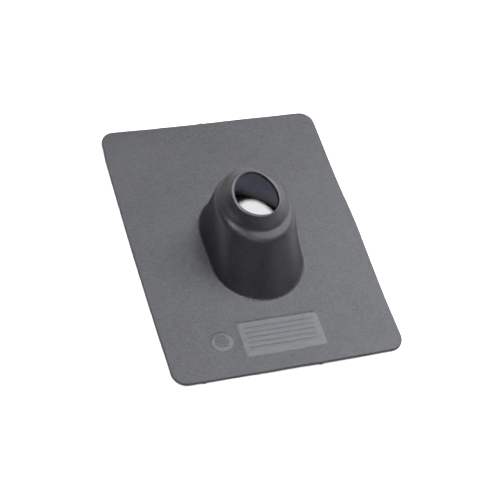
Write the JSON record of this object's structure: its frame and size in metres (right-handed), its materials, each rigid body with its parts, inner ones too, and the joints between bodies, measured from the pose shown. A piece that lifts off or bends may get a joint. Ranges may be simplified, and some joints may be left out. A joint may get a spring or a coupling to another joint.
{
  "type": "pipe flashing boot",
  "caption": "One-piece flexible roof flashing: flat sheet with rounded corners and a hollow tapered boot whose collar grips a vent pipe.",
  "frame": {"origin": "middle of the sheet's flat underside, which lies on the roof", "axes": "+Z away from the roof, +Y along the sheet towards the end without the raised pad, +X across the sheet"},
  "size_m": [0.2666, 0.343, 0.0772],
  "materials": {
    "elastomer": "matt, finely pebbled charcoal elastomer"
  },
  "bodies": {
    "root": {"flashing_boot": "elastomer"}
  },
  "joints": []
}
